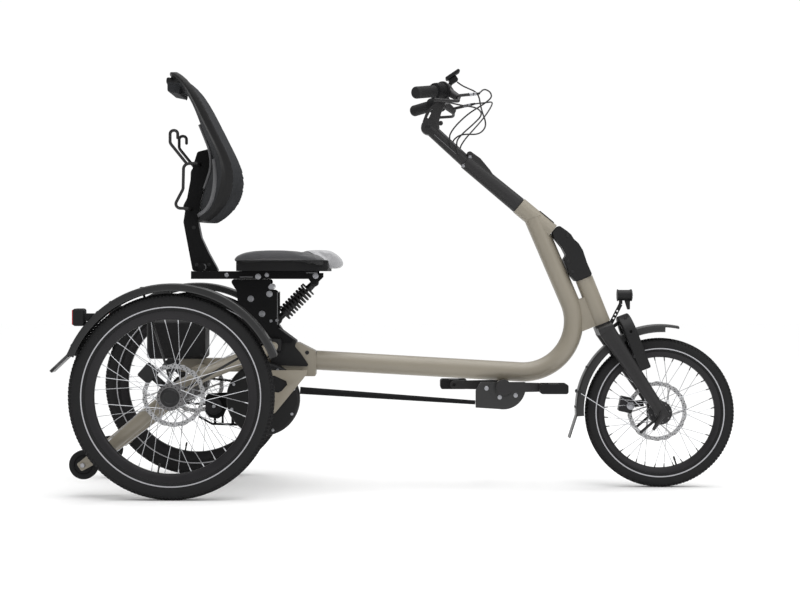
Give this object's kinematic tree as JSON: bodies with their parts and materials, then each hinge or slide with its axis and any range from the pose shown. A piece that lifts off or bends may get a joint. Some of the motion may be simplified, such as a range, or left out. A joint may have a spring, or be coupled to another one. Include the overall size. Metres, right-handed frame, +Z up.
{
  "type": "semi-recumbent tricycle",
  "caption": "Semi-recumbent adult tricycle with a bent single-tube frame, mesh-backed seat, one steered front wheel and two rear wheels under mudguards.",
  "frame": {"origin": "on the floor under the middle of the trike's length and width", "axes": "+X forward, +Y to the rider's left, +Z up"},
  "size_m": [2.222, 0.79, 1.4007],
  "materials": {
    "frame_paint": "satin pebble-beige paint",
    "tyre_rubber": "matte black rubber",
    "wheel_metal": "black rims with bare spokes",
    "black_plastic": "fine-grained black plastic",
    "black_metal": "satin black coating",
    "seat_fabric": "black woven mesh and fabric",
    "grip_rubber": "matte black rubber",
    "red_lens": "clear red lens in a black case",
    "bare_metal": "bare steel and polished aluminium"
  },
  "bodies": {
    "frame": {"backrest": "seat_fabric", "backrest_hooks": "black_metal", "backrest_post": "black_metal", "battery": "black_plastic", "chain_guard": "black_plastic", "chain_tube": "black_plastic", "drive_cover": "black_plastic", "frame_fairing": "black_plastic", "gear_unit": "bare_metal", "head_tube": "frame_paint", "main_tube": "frame_paint", "rear_calipers": "bare_metal", "rear_fender_left": "black_plastic", "rear_fender_right": "black_plastic", "rear_frame": "frame_paint", "roller_forks": "black_metal", "seat_cushion": "seat_fabric", "seat_pan": "black_plastic", "seat_plates": "black_metal", "seat_rail": "black_metal", "seat_shock": "bare_metal", "second_drive": "bare_metal", "steering_cover": "black_plastic", "tail_lamps": "red_lens"},
    "fork": {"fork": "black_metal", "front_fender": "black_plastic", "headlamp": "black_plastic", "front_caliper": "bare_metal", "ring_lock": "black_plastic"},
    "handlebar": {"riser": "black_metal", "stem": "black_metal", "handlebar": "black_metal", "grips": "grip_rubber", "brake_levers": "bare_metal", "display": "black_plastic", "control_cables": "grip_rubber"},
    "front_wheel": {"front_tyre": "tyre_rubber", "front_wheel": "wheel_metal"},
    "rear_wheel_right": {"rear_tyre_right": "tyre_rubber", "rear_wheel_right": "wheel_metal"},
    "rear_wheel_left": {"rear_tyre_left": "tyre_rubber", "rear_wheel_left": "wheel_metal"},
    "roller_right": {"roller_right": "tyre_rubber"},
    "roller_left": {"roller_left": "tyre_rubber"},
    "cranks": {"cranks": "bare_metal"},
    "pedal_right": {"pedal_right": "black_plastic"},
    "pedal_left": {"pedal_left": "black_plastic"}
  },
  "joints": [
    {"name": "fork_turn", "type": "hinge", "parent": "frame", "child": "fork", "pos_m": [0.66826, 0, 0.54879], "axis": [-0.3714, 0, 0.9285], "range_deg": [-40, 40]},
    {"name": "handlebar_turn", "type": "hinge", "parent": "frame", "child": "handlebar", "pos_m": [0.3899, 0, 0.94375], "axis": [-0.7705, 0, 0.6374], "range_deg": [-40, 40]},
    {"name": "front_wheel_spin", "type": "hinge", "parent": "fork", "child": "front_wheel", "pos_m": [0.861, 0, 0.25], "axis": [0, 1, 0], "continuous": true},
    {"name": "rear_wheel_right_spin", "type": "hinge", "parent": "frame", "child": "rear_wheel_right", "pos_m": [-0.732, -0.35, 0.3265], "axis": [0, 1, 0], "continuous": true},
    {"name": "rear_wheel_left_spin", "type": "hinge", "parent": "frame", "child": "rear_wheel_left", "pos_m": [-0.732, 0.35, 0.3265], "axis": [0, 1, 0], "continuous": true},
    {"name": "roller_right_spin", "type": "hinge", "parent": "frame", "child": "roller_right", "pos_m": [-1.027, -0.246, 0.101], "axis": [0, 1, 0], "continuous": true},
    {"name": "roller_left_spin", "type": "hinge", "parent": "frame", "child": "roller_left", "pos_m": [-1.027, 0.246, 0.101], "axis": [0, 1, 0], "continuous": true},
    {"name": "cranks_turn", "type": "hinge", "parent": "frame", "child": "cranks", "pos_m": [0.334, 0, 0.338], "axis": [0, 1, 0], "continuous": true},
    {"name": "pedal_right_spin", "type": "hinge", "parent": "cranks", "child": "pedal_right", "pos_m": [0.494, 0, 0.338], "axis": [0, 1, 0], "continuous": true},
    {"name": "pedal_left_spin", "type": "hinge", "parent": "cranks", "child": "pedal_left", "pos_m": [0.174, 0, 0.338], "axis": [0, 1, 0], "continuous": true}
  ],
  "couplings": [
    {"joint": "handlebar_turn", "follows": "fork_turn", "ratio": 1}
  ]
}
